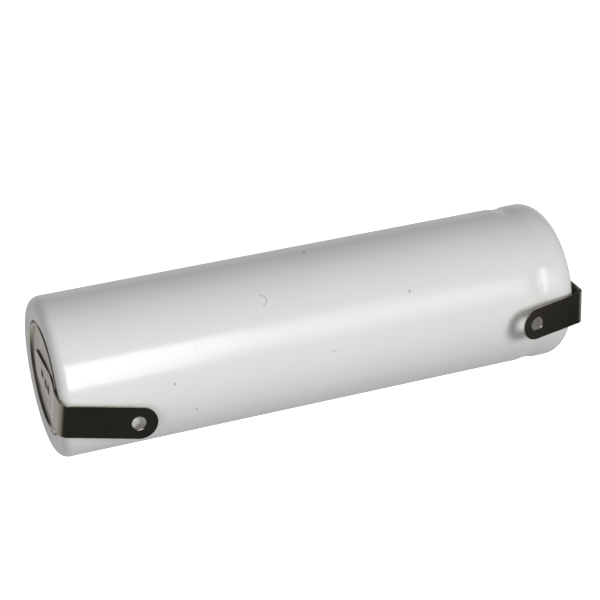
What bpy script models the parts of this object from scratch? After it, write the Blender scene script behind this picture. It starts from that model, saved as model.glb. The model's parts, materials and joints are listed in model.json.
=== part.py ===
"""Cylindrical nickel-based battery cell of AA size, with a bendable solder tag on each end.

The cell lies along X with its positive end at high X. +Z is up and both tags are on the -Y side.
The origin is on the cell's axis, on the outer face of the negative tag's welded foot.
Dimensions are written in millimetres, and every mesh is made in metres.
"""

import math

import bmesh
import bpy
from mathutils import Matrix, Vector

MM = 0.001
MERGE_DISTANCE = 0.000001

# An even count that puts a facet, and not an edge, straight under the axis: the cell lies still on it.
SEGMENTS = 34

# Gaps between pieces
CLEARANCE = 0.03
WELD_GAP = 0.02

# Outer sleeve, a shrunk film
SLEEVE_RADIUS = 7.25
SLEEVE_LENGTH = 49.1
FILM = 0.15
NEGATIVE_SHOULDER = 1.0
POSITIVE_SHOULDER = 1.8
NEGATIVE_ROLL_IN = 2.25
POSITIVE_ROLL_IN = 2.35

# Steel can
CAN_WALL = 0.3
BASE_DISH = 0.2
BASE_RING_WIDTH = 0.15
DISH_SLOPE_WIDTH = 0.55
BEAD_FROM_END = 3.8
BEAD_DEPTH = 0.9
BEAD_HALF_WIDTH = 1.0
FILM_DIP = 0.14
FILM_DIP_HALF_WIDTH = 1.2

# Electrode winding
CORE_RADIUS = 1.3
POSITIVE_PLATE_THICKNESS = 0.7
NEGATIVE_PLATE_THICKNESS = 0.42
SEPARATOR_THICKNESS = 0.16
COLLECTOR_THICKNESS = 0.2
COLLECTOR_MARGIN = 1.5
COLLECTOR_HOLE = 1.0
NEGATIVE_EDGE_SETBACK = 0.8
POSITIVE_EDGE_SETBACK = 0.7
SEPARATOR_MARGIN = 0.35

# Top insulator and positive lead
INSULATOR_THICKNESS = 0.25
INSULATOR_EDGE_GAP = 0.25
INSULATOR_HOLE_GAP = 0.25
LEAD_WIDTH = 3.0
LEAD_THICKNESS = 0.15
LEAD_FOOT_LENGTH = 3.6
LEAD_HEAD_LENGTH = 2.2
LEAD_STEM_Y = 1.9
LEAD_BEND = 0.4

# Sealing lid: gasket, cover plate, cap and the resealable vent under the cap
GASKET_FLOOR = 0.5
GASKET_WALL = 0.5
GASKET_FLOOR_WIDTH = 1.3
CRIMP_OVERLAP = 0.85
COVER_THICKNESS = 0.4
VENT_HOLE = 0.8
CAP_WALL = 0.3
CAP_BODY_RADIUS = 3.3
CAP_CORNER = 0.4
CAP_PROUD = 0.2
CAP_HOLES = 4
CAP_HOLE_RADIUS = 0.35
SEAL_OVERLAP = 0.8
SEAL_THICKNESS = 0.6
VENT_PLATE_OVERLAP = 0.15
VENT_PLATE_THICKNESS = 0.2
VENT_PLATE_BOSS_RADIUS = 0.45
VENT_PLATE_BOSS_HEIGHT = 0.25
SPRING_WIRE = 0.2
SPRING_EDGE_GAP = 0.15
SPRING_BOSS_GAP = 0.2
SPRING_TURNS = 2.25
SPRING_STEPS = 14
CAP_RING_THICKNESS = 0.2
CAP_RING_GAP = 0.4
CAP_RING_COVER = 0.35

# Solder tags: nickel strip, spot-welded to each end and folded along the side
TAG_WIDTH = 3.1
TAG_THICKNESS = 0.15
TAG_BEND = 0.35
TAG_LIFT = 0.15
TAG_SIDE_GAP = 0.2
TAG_HOLE_RADIUS = 0.62
TAG_SPLIT_GAP = 0.1
TAG_RISE_LENGTH = 2.1
TAG_RISE_MARGIN = 0.15
BEND_STEPS = 4
OUTLINE_OVERSHOOT = 1.0
OUTLINE_DEPTH = 3.0

# Levels along X, counted from the face of the negative tag's foot at x = 0
BASE_X = TAG_THICKNESS + WELD_GAP
CAN_START = BASE_X - BASE_DISH
SLEEVE_START = CAN_START - CLEARANCE - FILM
SLEEVE_END = SLEEVE_START + SLEEVE_LENGTH
CAP_RING_TOP = SLEEVE_END - FILM - CLEARANCE
RIM_TOP = CAP_RING_TOP - CAP_RING_THICKNESS - CLEARANCE
CAP_TOP = SLEEVE_END + CAP_PROUD
BEAD_X = SLEEVE_END - BEAD_FROM_END
FLOOR_INSIDE = BASE_X + CAN_WALL
GASKET_BOTTOM = BEAD_X + BEAD_HALF_WIDTH + CLEARANCE
COVER_BOTTOM = GASKET_BOTTOM + GASKET_FLOOR + CLEARANCE
COVER_TOP = COVER_BOTTOM + COVER_THICKNESS
FLANGE_BOTTOM = COVER_TOP + CLEARANCE
FLANGE_TOP = FLANGE_BOTTOM + CAP_WALL
INSULATOR_TOP = BEAD_X - BEAD_HALF_WIDTH - CLEARANCE
INSULATOR_BOTTOM = INSULATOR_TOP - INSULATOR_THICKNESS
NEGATIVE_COLLECTOR_BOTTOM = FLOOR_INSIDE + CLEARANCE
NEGATIVE_COLLECTOR_TOP = NEGATIVE_COLLECTOR_BOTTOM + COLLECTOR_THICKNESS
POSITIVE_COLLECTOR_TOP = INSULATOR_BOTTOM - CLEARANCE
POSITIVE_COLLECTOR_BOTTOM = POSITIVE_COLLECTOR_TOP - COLLECTOR_THICKNESS

# Radii that follow from the sleeve. A wall is measured across a facet, so corners stand further out.
FACET = math.cos(math.pi / SEGMENTS)
CAN_RADIUS = SLEEVE_RADIUS - FILM / FACET - CLEARANCE
CAN_BORE = CAN_RADIUS - CAN_WALL / FACET
CAN_BASE_CORNER = NEGATIVE_SHOULDER - FILM
CAN_RIM_CORNER = POSITIVE_SHOULDER - FILM
DISH_OUTER = CAN_RADIUS - CAN_BASE_CORNER - BASE_RING_WIDTH
DISH_INNER = DISH_OUTER - DISH_SLOPE_WIDTH
NEGATIVE_OPENING = SLEEVE_RADIUS - NEGATIVE_ROLL_IN
POSITIVE_OPENING = SLEEVE_RADIUS - POSITIVE_ROLL_IN
COLLECTOR_RADIUS = CAN_BORE - COLLECTOR_MARGIN
INSULATOR_RADIUS = CAN_BORE - INSULATOR_EDGE_GAP
INSULATOR_HOLE = math.hypot(LEAD_STEM_Y + LEAD_THICKNESS, LEAD_WIDTH / 2) + INSULATOR_HOLE_GAP
GASKET_RADIUS = CAN_BORE - CLEARANCE
GASKET_TOP = RIM_TOP - CAN_WALL - CLEARANCE
GASKET_CORNER = CAN_RIM_CORNER - CAN_WALL
COVER_RADIUS = GASKET_RADIUS - GASKET_WALL - CLEARANCE
GASKET_OPENING = COVER_RADIUS - GASKET_FLOOR_WIDTH
RIM_OPENING = COVER_RADIUS - CRIMP_OVERLAP
SEAL_RADIUS = VENT_HOLE + SEAL_OVERLAP
VENT_PLATE_RADIUS = SEAL_RADIUS + VENT_PLATE_OVERLAP
SPRING_BASE_RADIUS = VENT_PLATE_RADIUS - SPRING_EDGE_GAP - SPRING_WIRE / 2
SPRING_TOP_RADIUS = VENT_PLATE_BOSS_RADIUS + SPRING_BOSS_GAP + SPRING_WIRE / 2
CAP_RING_OPENING = CAP_BODY_RADIUS + CAP_RING_GAP
CAP_RING_RADIUS = RIM_OPENING + CAP_RING_COVER

# The tag has risen clear of the film before either of its edges reaches the film's opening.
TAG_RISE_END = math.sqrt(NEGATIVE_OPENING**2 - (TAG_WIDTH / 2) ** 2) - TAG_RISE_MARGIN
TAG_RISE_START = TAG_RISE_END - TAG_RISE_LENGTH

cell = bpy.data.collections.new("battery_cell")
cutters = bpy.data.collections.new("cutters")


def clear_scene():
    """Start from an empty scene that holds the two collections."""
    for old in list(bpy.data.objects):
        bpy.data.objects.remove(old, do_unlink=True)
    bpy.context.scene.collection.children.link(cell)
    bpy.context.scene.collection.children.link(cutters)


def finish(name, colour, roughness, metallic):
    """A plain Principled finish."""
    material = bpy.data.materials.new(name)
    material.use_nodes = True
    shader = material.node_tree.nodes["Principled BSDF"]
    shader.inputs["Base Color"].default_value = (*colour, 1.0)
    shader.inputs["Roughness"].default_value = roughness
    shader.inputs["Metallic"].default_value = metallic
    return material


WHITE_FILM = finish("white_film", (0.80, 0.80, 0.79), 0.25, 0.0)
PLATED_STEEL = finish("plated_steel", (0.60, 0.57, 0.53), 0.25, 1.0)
NICKEL_STRIP = finish("nickel_strip", (0.42, 0.38, 0.33), 0.3, 1.0)
SPRING_STEEL = finish("spring_steel", (0.55, 0.55, 0.55), 0.3, 1.0)
POSITIVE_MASS = finish("nickel_hydroxide", (0.05, 0.07, 0.05), 0.9, 0.0)
NEGATIVE_MASS = finish("hydride_alloy", (0.08, 0.08, 0.09), 0.7, 0.3)
FLEECE = finish("separator_fleece", (0.75, 0.75, 0.70), 0.9, 0.0)
POLYAMIDE = finish("polyamide", (0.70, 0.66, 0.55), 0.5, 0.0)
RUBBER = finish("black_rubber", (0.03, 0.03, 0.03), 0.8, 0.0)
FIBRE = finish("fibre_board", (0.55, 0.50, 0.40), 0.9, 0.0)


def add_piece(name, mesh, material, collection=cell):
    """Link one named object with its finish."""
    piece = bpy.data.objects.new(name, mesh)
    if material is not None:
        mesh.materials.append(material)
    collection.objects.link(piece)
    return piece


def arc(centre, radius, start, end, steps):
    """Points on an arc in the (x, r) plane; angles in degrees run from +x towards +r."""
    points = []
    for step in range(steps + 1):
        angle = math.radians(start + (end - start) * step / steps)
        points.append((centre[0] + radius * math.cos(angle), centre[1] + radius * math.sin(angle)))
    return points


def groove(radius, half_width, depth, steps):
    """A rounded groove in a cylinder at the bead's place, listed from high x to low x."""
    points = []
    for step in range(steps + 1):
        offset = half_width * (1 - 2 * step / steps)
        dip = depth * math.cos(math.pi / 2 * offset / half_width) ** 2
        points.append((BEAD_X + offset, radius - dip))
    return points


def turned(name, profile, material, closed):
    """Turn (x, r) points about X; the outer side of the profile runs from high x to low x."""
    mesh = bpy.data.meshes.new(name)
    corners = [(x * MM, r * MM, 0.0) for x, r in profile]
    edges = [(i, i + 1) for i in range(len(corners) - 1)]
    if closed:
        edges.append((len(corners) - 1, 0))
    mesh.from_pydata(corners, edges, [])
    piece = add_piece(name, mesh, material)
    screw = piece.modifiers.new("turn", "SCREW")
    screw.axis = "X"
    screw.steps = SEGMENTS
    screw.render_steps = SEGMENTS
    screw.use_merge_vertices = True
    screw.merge_threshold = MERGE_DISTANCE
    screw.use_smooth_shade = True
    return piece


def turned_shell(name, profile, wall, material):
    """Turn an open outer profile and give it a wall on its inner side."""
    piece = turned(name, profile, material, closed=False)
    solidify = piece.modifiers.new("wall", "SOLIDIFY")
    solidify.thickness = wall * MM
    solidify.offset = -1.0
    solidify.use_even_offset = True
    return piece


def disc(name, low, high, radius, material):
    """A plain round disc across the axis."""
    profile = [(high, 0.0), (high, radius), (low, radius), (low, 0.0)]
    return turned(name, profile, material, closed=False)


def ring(name, low, high, inner, outer, material):
    """A flat washer across the axis."""
    profile = [(high, inner), (high, outer), (low, outer), (low, inner)]
    return turned(name, profile, material, closed=True)


def outline_mesh(name, loops, thickness):
    """A flat outline with straight sides, centred on its own plane.

    The curve is filled at millimetre scale, and its mesh is then brought to metres.
    """
    curve = bpy.data.curves.new(name, "CURVE")
    curve.dimensions = "2D"
    curve.fill_mode = "BOTH"
    curve.extrude = thickness / 2
    for loop in loops:
        spline = curve.splines.new("POLY")
        spline.points.add(len(loop) - 1)
        for point, (x, y) in zip(spline.points, loop):
            point.co = (x, y, 0.0, 1.0)
        spline.use_cyclic_u = True
    holder = bpy.data.objects.new(name, curve)
    cutters.objects.link(holder)
    depsgraph = bpy.context.evaluated_depsgraph_get()
    mesh = bpy.data.meshes.new_from_object(holder.evaluated_get(depsgraph))
    bpy.data.objects.remove(holder, do_unlink=True)
    mesh.transform(Matrix.Scale(MM, 4))
    welded = bmesh.new()
    welded.from_mesh(mesh)
    bmesh.ops.remove_doubles(welded, verts=welded.verts, dist=MERGE_DISTANCE)
    welded.to_mesh(mesh)
    welded.free()
    return mesh


def cut(piece, tool, operation):
    """Combine a piece with a hidden tool."""
    tool.hide_render = True
    tool.display_type = "WIRE"
    boolean = piece.modifiers.new(tool.name, "BOOLEAN")
    boolean.operation = operation
    boolean.solver = "EXACT"
    boolean.object = tool


def make_sleeve():
    """The shrunk film: rolled over the base, dipped at the bead, drawn over the rim."""
    profile = [(SLEEVE_END, POSITIVE_OPENING)]
    high_centre = (SLEEVE_END - POSITIVE_SHOULDER, SLEEVE_RADIUS - POSITIVE_SHOULDER)
    low_centre = (SLEEVE_START + NEGATIVE_SHOULDER, SLEEVE_RADIUS - NEGATIVE_SHOULDER)
    profile += arc(high_centre, POSITIVE_SHOULDER, 0, 90, 6)
    profile += groove(SLEEVE_RADIUS, FILM_DIP_HALF_WIDTH, FILM_DIP, 8)
    profile += arc(low_centre, NEGATIVE_SHOULDER, 90, 180, 5)
    profile.append((SLEEVE_START, DISH_OUTER - FILM))
    profile.append((SLEEVE_START + BASE_DISH, DISH_INNER - 2 * FILM))
    profile.append((SLEEVE_START + BASE_DISH, NEGATIVE_OPENING))
    return turned_shell("outer_sleeve", profile, FILM, WHITE_FILM)


def make_can():
    """The deep-drawn can: dished base, side wall, bead groove and inward-crimped rim."""
    profile = [(RIM_TOP, RIM_OPENING)]
    profile += arc((RIM_TOP - CAN_RIM_CORNER, CAN_RADIUS - CAN_RIM_CORNER), CAN_RIM_CORNER, 0, 90, 5)
    profile += groove(CAN_RADIUS, BEAD_HALF_WIDTH, BEAD_DEPTH, 8)
    profile += arc((CAN_START + CAN_BASE_CORNER, CAN_RADIUS - CAN_BASE_CORNER), CAN_BASE_CORNER, 90, 180, 4)
    profile.append((CAN_START, DISH_OUTER))
    profile.append((BASE_X, DISH_INNER))
    profile.append((BASE_X, 0.0))
    return turned_shell("steel_can", profile, CAN_WALL, PLATED_STEEL)


def make_winding():
    """Four sheets wound together, each one lying on the one inside it."""
    sheets = [
        ("inner_separator", SEPARATOR_THICKNESS, SEPARATOR_MARGIN, SEPARATOR_MARGIN, FLEECE),
        ("positive_plate", POSITIVE_PLATE_THICKNESS, NEGATIVE_EDGE_SETBACK, 0.0, POSITIVE_MASS),
        ("outer_separator", SEPARATOR_THICKNESS, SEPARATOR_MARGIN, SEPARATOR_MARGIN, FLEECE),
        ("negative_plate", NEGATIVE_PLATE_THICKNESS, 0.0, POSITIVE_EDGE_SETBACK, NEGATIVE_MASS),
    ]
    pitch = sum(thickness + CLEARANCE for _, thickness, _, _, _ in sheets)
    turns = (CAN_BORE - CLEARANCE - CORE_RADIUS) / pitch - 1
    steps = math.floor(turns * SEGMENTS)
    low = NEGATIVE_COLLECTOR_TOP + CLEARANCE
    high = POSITIVE_COLLECTOR_BOTTOM - CLEARANCE
    along_axis = Matrix(((0, 0, 1, 0), (1, 0, 0, 0), (0, 1, 0, 0), (0, 0, 0, 1)))
    start_radius = CORE_RADIUS
    for name, thickness, low_margin, high_margin, material in sheets:
        inside = []
        outside = []
        for step in range(steps + 1):
            angle = 2 * math.pi * step / SEGMENTS
            ray = (math.cos(angle), math.sin(angle))
            radius = start_radius + pitch * step / SEGMENTS
            inside.append((ray[0] * radius, ray[1] * radius))
            outside.append((ray[0] * (radius + thickness), ray[1] * (radius + thickness)))
        sheet_low = low + low_margin
        sheet_high = high - high_margin
        mesh = outline_mesh(name, [outside + inside[::-1]], sheet_high - sheet_low)
        mesh.transform(along_axis)
        piece = add_piece(name, mesh, material)
        piece.location.x = (sheet_low + sheet_high) / 2 * MM
        start_radius += thickness + CLEARANCE


def make_collectors():
    """Discs that join the wound edges: one welded to the base, one to the positive lead."""
    ring("negative_collector", NEGATIVE_COLLECTOR_BOTTOM, NEGATIVE_COLLECTOR_TOP,
         COLLECTOR_HOLE, COLLECTOR_RADIUS, PLATED_STEEL)
    ring("positive_collector", POSITIVE_COLLECTOR_BOTTOM, POSITIVE_COLLECTOR_TOP,
         COLLECTOR_HOLE, COLLECTOR_RADIUS, PLATED_STEEL)
    ring("top_insulator", INSULATOR_BOTTOM, INSULATOR_TOP, INSULATOR_HOLE, INSULATOR_RADIUS, POLYAMIDE)


def ribbon(path, thickness):
    """The closed outline of a bent strip seen edge-on, from its middle line."""
    left = []
    right = []
    for index, point in enumerate(path):
        here = Vector(point)
        before = (here - Vector(path[index - 1])).normalized() if index > 0 else None
        after = (Vector(path[index + 1]) - here).normalized() if index < len(path) - 1 else None
        before = before or after
        after = after or before
        along = (before + after).normalized()
        reach = thickness / 2 / along.dot(before)
        across = Vector((-along.y, along.x)) * reach
        left.append(tuple(here + across))
        right.append(tuple(here - across))
    return left + right[::-1]


def make_lead():
    """The lead: flat on the collector, up through the insulator, flat under the cover plate."""
    low = POSITIVE_COLLECTOR_TOP + WELD_GAP + LEAD_THICKNESS / 2
    high = COVER_BOTTOM - WELD_GAP - LEAD_THICKNESS / 2
    path = [(LEAD_STEM_Y - LEAD_FOOT_LENGTH, low)]
    path += arc((LEAD_STEM_Y - LEAD_BEND, low + LEAD_BEND), LEAD_BEND, -90, 0, BEND_STEPS)
    path += arc((LEAD_STEM_Y + LEAD_BEND, high - LEAD_BEND), LEAD_BEND, 180, 90, BEND_STEPS)
    path.append((LEAD_STEM_Y + LEAD_HEAD_LENGTH, high))
    mesh = outline_mesh("positive_lead", [ribbon(path, LEAD_THICKNESS)], LEAD_WIDTH)
    upright = Matrix(((0, 1, 0, 0), (1, 0, 0, 0), (0, 0, -1, 0), (0, 0, 0, 1)))
    mesh.transform(upright)
    return add_piece("positive_lead", mesh, PLATED_STEEL)


def make_gasket():
    """The C-shaped sealing ring that the crimp squeezes round the lid."""
    seat = COVER_RADIUS + CLEARANCE
    lip_bottom = FLANGE_TOP + CLEARANCE
    profile = [(GASKET_TOP, RIM_OPENING)]
    profile += arc((GASKET_TOP - GASKET_CORNER, GASKET_RADIUS - GASKET_CORNER), GASKET_CORNER, 0, 90, 5)
    profile.append((GASKET_BOTTOM, GASKET_RADIUS))
    profile.append((GASKET_BOTTOM, GASKET_OPENING))
    profile.append((COVER_BOTTOM - CLEARANCE, GASKET_OPENING))
    profile.append((COVER_BOTTOM - CLEARANCE, seat))
    profile.append((lip_bottom, seat))
    profile.append((lip_bottom, RIM_OPENING))
    return turned("sealing_gasket", profile, POLYAMIDE, closed=True)


def make_cap():
    """The hat-shaped positive cap with gas holes round its wall."""
    profile = [(CAP_TOP, 0.0)]
    profile += arc((CAP_TOP - CAP_CORNER, CAP_BODY_RADIUS - CAP_CORNER), CAP_CORNER, 0, 90, 3)
    profile.append((FLANGE_TOP, CAP_BODY_RADIUS))
    profile.append((FLANGE_TOP, COVER_RADIUS))
    cap = turned_shell("positive_cap", profile, CAP_WALL, PLATED_STEEL)
    height = (GASKET_TOP + FLANGE_TOP) / 2
    for number in range(CAP_HOLES):
        angle = math.pi / CAP_HOLES + 2 * math.pi * number / CAP_HOLES
        bpy.ops.mesh.primitive_cylinder_add(vertices=12, radius=CAP_HOLE_RADIUS * MM, depth=2 * MM)
        drill = bpy.context.object
        drill.name = f"gas_hole_{number + 1}"
        for collection in drill.users_collection:
            collection.objects.unlink(drill)
        cutters.objects.link(drill)
        reach = Vector((0.0, math.cos(angle), math.sin(angle)))
        drill.rotation_mode = "QUATERNION"
        drill.rotation_quaternion = reach.to_track_quat("Z", "X")
        drill.location = (reach * CAP_BODY_RADIUS + Vector((height, 0, 0))) * MM
        cut(cap, drill, "DIFFERENCE")
    return cap


def make_lid():
    """Gasket, cover plate, cap and the insulating ring that lies on the crimp."""
    make_gasket()
    ring("cover_plate", COVER_BOTTOM, COVER_TOP, VENT_HOLE, COVER_RADIUS, PLATED_STEEL)
    make_cap()
    low = CAP_RING_TOP - CAP_RING_THICKNESS
    ring("cap_ring", low, CAP_RING_TOP, CAP_RING_OPENING, CAP_RING_RADIUS, FIBRE)


def make_vent():
    """The vent: a rubber seal over the hole, a plate on it, and a conical spring up to the cap."""
    seal_bottom = COVER_TOP + CLEARANCE
    seal_top = seal_bottom + SEAL_THICKNESS
    disc("vent_seal", seal_bottom, seal_top, SEAL_RADIUS, RUBBER)
    plate_bottom = seal_top + CLEARANCE
    plate_top = plate_bottom + VENT_PLATE_THICKNESS
    boss_top = plate_top + VENT_PLATE_BOSS_HEIGHT
    profile = [(boss_top, 0.0), (boss_top, VENT_PLATE_BOSS_RADIUS), (plate_top, VENT_PLATE_BOSS_RADIUS)]
    profile += [(plate_top, VENT_PLATE_RADIUS), (plate_bottom, VENT_PLATE_RADIUS), (plate_bottom, 0.0)]
    turned("vent_plate", profile, PLATED_STEEL, closed=False)
    low = plate_top + CLEARANCE + SPRING_WIRE / 2
    high = CAP_TOP - CAP_WALL - CLEARANCE - SPRING_WIRE / 2
    curve = bpy.data.curves.new("vent_spring", "CURVE")
    curve.dimensions = "3D"
    curve.bevel_depth = SPRING_WIRE / 2 * MM
    curve.bevel_resolution = 2
    curve.use_fill_caps = True
    spline = curve.splines.new("POLY")
    count = round(SPRING_TURNS * SPRING_STEPS)
    spline.points.add(count)
    for index, point in enumerate(spline.points):
        share = index / count
        radius = SPRING_BASE_RADIUS + (SPRING_TOP_RADIUS - SPRING_BASE_RADIUS) * share
        angle = 2 * math.pi * index / SPRING_STEPS
        x = low + (high - low) * share
        point.co = (x * MM, radius * math.cos(angle) * MM, radius * math.sin(angle) * MM, 1.0)
    curve.materials.append(SPRING_STEEL)
    cell.objects.link(bpy.data.objects.new("vent_spring", curve))


def slot_loop(start, tip, radius, steps):
    """A strip's plan outline with a square start and a round tip, along x."""
    points = [(start, -radius)]
    for step in range(steps + 1):
        angle = math.radians(-90 + 180 * step / steps)
        points.append((tip - radius + radius * math.cos(angle), radius * math.sin(angle)))
    points.append((start, radius))
    return points


def circle_loop(x, radius, steps):
    """A round hole's outline."""
    points = []
    for step in range(steps):
        angle = 2 * math.pi * step / steps
        points.append((x + radius * math.cos(angle), radius * math.sin(angle)))
    return points


def make_tag(name, outward, weld_face, sleeve_face, roll, splay, skew, leg_length, hole_from_tip, foot_reach):
    """One solder tag in two pieces that meet at the fold.

    outward is the direction of this end along X, roll turns the strip round the cell's axis,
    splay is how far the leg stands off the side, and skew is how far it slants in its own plane.
    The fold's hinge line is on the outer surface, halfway round the bend, so the leg can open flat.
    """
    end = Vector((outward, 0, 0))
    side = Vector((0, -math.cos(math.radians(roll)), math.sin(math.radians(roll))))
    lean = math.radians(splay)
    leg_along = (-end * math.cos(lean) + side * math.sin(lean)).normalized()
    leg_out = (side * math.cos(lean) + end * math.sin(lean)).normalized()
    half_turn = math.radians(90 - splay) / 2
    half_thick = TAG_THICKNESS / 2
    weld_level = weld_face * outward + WELD_GAP + half_thick
    lifted_level = max(weld_level, sleeve_face * outward + TAG_LIFT + half_thick)
    bend_side = SLEEVE_RADIUS + TAG_SIDE_GAP + half_thick - TAG_BEND * math.cos(lean)
    bend_centre = end * (lifted_level - TAG_BEND) + side * bend_side
    outer_ray = (end * math.cos(half_turn) + side * math.sin(half_turn)).normalized()
    hinge = bend_centre + outer_ray * (TAG_BEND + half_thick)
    sharp_corner = bend_centre + outer_ray * (TAG_BEND / math.cos(half_turn))

    def placed(mesh, along, out):
        across = out.cross(along)
        turn = Matrix((along, across, out)).transposed().to_4x4()
        piece = add_piece(mesh.name, mesh, NICKEL_STRIP)
        piece.matrix_world = Matrix.Translation(hinge * MM) @ turn
        return piece

    def tool(tool_name, loops, along, out, skew_angle, corner):
        mesh = outline_mesh(tool_name, loops, OUTLINE_DEPTH)
        mesh.transform(Matrix.Translation(Vector((*corner, 0)) * MM) @ Matrix.Rotation(skew_angle, 4, "Z"))
        across = out.cross(along)
        turn = Matrix((along, across, out)).transposed().to_4x4()
        piece = add_piece(tool_name, mesh, None, cutters)
        piece.matrix_world = Matrix.Translation(hinge * MM) @ turn
        return piece

    def side_on(piece_name, path, slant):
        width = TAG_WIDTH + 2 * (OUTLINE_OVERSHOOT + leg_length * math.sin(abs(slant)))
        mesh = outline_mesh(piece_name, [ribbon(path, TAG_THICKNESS)], width)
        mesh.transform(Matrix(((1, 0, 0, 0), (0, 0, -1, 0), (0, 1, 0, 0), (0, 0, 0, 1))))
        return mesh

    split = math.degrees(TAG_SPLIT_GAP / 2 / TAG_BEND)
    half_degrees = math.degrees(half_turn)
    arm = TAG_BEND + half_thick

    centre = (-arm * math.sin(half_turn), -arm * math.cos(half_turn))
    path = [
        (-foot_reach - hinge.dot(side), weld_level - hinge.dot(end)),
        (TAG_RISE_START - hinge.dot(side), weld_level - hinge.dot(end)),
        (TAG_RISE_END - hinge.dot(side), lifted_level - hinge.dot(end)),
    ]
    path += arc(centre, TAG_BEND, 90, 90 - half_degrees + split, BEND_STEPS)
    foot = placed(side_on(f"{name}_foot", path, 0.0), side, end)
    reach = hinge.dot(side) + foot_reach
    foot_plan = [(-x, y) for x, y in slot_loop(-OUTLINE_OVERSHOOT, reach, TAG_WIDTH / 2, 12)][::-1]
    cut(foot, tool(f"{name}_foot_plan", [foot_plan], side, end, 0.0, (0, 0)), "INTERSECT")

    centre = (arm * math.sin(half_turn), -arm * math.cos(half_turn))
    corner = ((sharp_corner - hinge).dot(leg_along), 0.0)
    path = arc(centre, TAG_BEND, 90 + half_degrees - split, 90, BEND_STEPS)
    path.append((corner[0] + leg_length + OUTLINE_OVERSHOOT, centre[1] + TAG_BEND))
    across = leg_out.cross(leg_along)
    skew_angle = math.radians(skew) * (1 if across.z > 0 else -1)
    leg = placed(side_on(f"{name}_leg", path, skew_angle), leg_along, leg_out)
    loops = [
        slot_loop(-OUTLINE_OVERSHOOT, leg_length, TAG_WIDTH / 2, 12),
        circle_loop(leg_length - hole_from_tip, TAG_HOLE_RADIUS, 16),
    ]
    cut(leg, tool(f"{name}_leg_plan", loops, leg_along, leg_out, skew_angle, corner), "INTERSECT")


def make_tags():
    """The two tags, bent by hand, so their angles differ a little."""
    make_tag("negative_tag", outward=-1, weld_face=BASE_X, sleeve_face=SLEEVE_START, roll=3.1, splay=2.0,
             skew=-13.0, leg_length=8.64, hole_from_tip=1.7, foot_reach=3.2)
    make_tag("positive_tag", outward=1, weld_face=CAP_TOP, sleeve_face=SLEEVE_END, roll=7.2, splay=13.0,
             skew=-0.8, leg_length=7.0, hole_from_tip=1.54, foot_reach=2.2)


clear_scene()
make_sleeve()
make_can()
make_winding()
make_collectors()
make_lead()
make_lid()
make_vent()
make_tags()
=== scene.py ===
# %% [markdown]
# # A cylindrical battery cell with solder tags
#
# This lesson builds the looks of a rechargeable AA-size cell: a drawn steel can with a wound electrode
# pack inside, a crimped lid with a vent, a white shrink film round the outside, and a nickel tag welded to
# each end. The working model comes from CAD as a fixed frame. It already has the right sizes and joints,
# so this script only makes finer meshes, materials, light and a camera around it.

# %% Load the fixed frame
import json
import math

import bmesh
import bpy
from mathutils import Matrix, Vector


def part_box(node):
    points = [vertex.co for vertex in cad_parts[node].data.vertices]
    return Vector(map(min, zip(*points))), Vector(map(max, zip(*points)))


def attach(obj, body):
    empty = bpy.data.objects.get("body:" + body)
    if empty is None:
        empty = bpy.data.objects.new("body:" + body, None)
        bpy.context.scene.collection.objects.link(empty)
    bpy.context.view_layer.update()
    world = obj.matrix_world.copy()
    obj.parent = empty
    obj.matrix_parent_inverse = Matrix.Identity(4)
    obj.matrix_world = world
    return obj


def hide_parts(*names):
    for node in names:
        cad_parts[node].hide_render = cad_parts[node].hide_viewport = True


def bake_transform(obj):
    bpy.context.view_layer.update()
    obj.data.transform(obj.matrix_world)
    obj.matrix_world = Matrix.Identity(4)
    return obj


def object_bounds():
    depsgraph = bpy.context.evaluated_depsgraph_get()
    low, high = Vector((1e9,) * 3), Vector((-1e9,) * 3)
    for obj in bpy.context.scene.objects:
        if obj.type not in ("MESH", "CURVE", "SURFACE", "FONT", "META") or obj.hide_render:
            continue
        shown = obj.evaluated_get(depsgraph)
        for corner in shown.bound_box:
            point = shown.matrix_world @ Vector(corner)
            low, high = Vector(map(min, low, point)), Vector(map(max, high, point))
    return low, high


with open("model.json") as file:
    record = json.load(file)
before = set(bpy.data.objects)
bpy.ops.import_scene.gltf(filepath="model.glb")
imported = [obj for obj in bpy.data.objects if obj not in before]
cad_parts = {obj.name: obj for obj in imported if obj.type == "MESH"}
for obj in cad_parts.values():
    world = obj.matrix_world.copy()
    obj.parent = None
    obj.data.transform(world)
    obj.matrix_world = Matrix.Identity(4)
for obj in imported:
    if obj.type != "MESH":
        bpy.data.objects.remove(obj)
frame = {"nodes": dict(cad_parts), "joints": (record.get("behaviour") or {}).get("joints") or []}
cad_low, cad_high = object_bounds()
MM = 0.001
print("frame box in mm:", [round((high - low) / MM, 2) for low, high in zip(cad_low, cad_high)])

# %% [markdown]
# ## Two small helpers
#
# Colours are easier to think about as the hex codes that paint programs show, but Blender's shaders work
# in linear light, so one function converts them. Node trees are easier to read when one line adds a node
# with its settings and its links, so a second function does that for shaders and Geometry Nodes alike.


# %% Colour and node helpers
def linear(code):
    """An sRGB hex colour as linear red, green and blue, with alpha 1."""
    channels = [int(code[start:start + 2], 16) / 255 for start in (1, 3, 5)]
    return tuple(c / 12.92 if c < 0.04045 else ((c + 0.055) / 1.055) ** 2.4 for c in channels) + (1.0,)


def add(tree, kind, settings=None, links=None):
    """Add a node. A setting is a property or an input's value, and a link feeds an input from a socket."""
    node = tree.nodes.new(kind)
    for key, value in (settings or {}).items():
        if isinstance(key, str) and hasattr(node, key):
            setattr(node, key, value)
        else:
            node.inputs[key].default_value = value
    for key, source in (links or {}).items():
        if isinstance(source, bpy.types.Node):
            source = source.outputs[0]
        tree.links.new(source, node.inputs[key])
    return node


def put_in_scene(name, data):
    """A new object for a mesh, curve, lamp or camera."""
    item = bpy.data.objects.new(name, data)
    bpy.context.scene.collection.objects.link(item)
    return item


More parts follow.
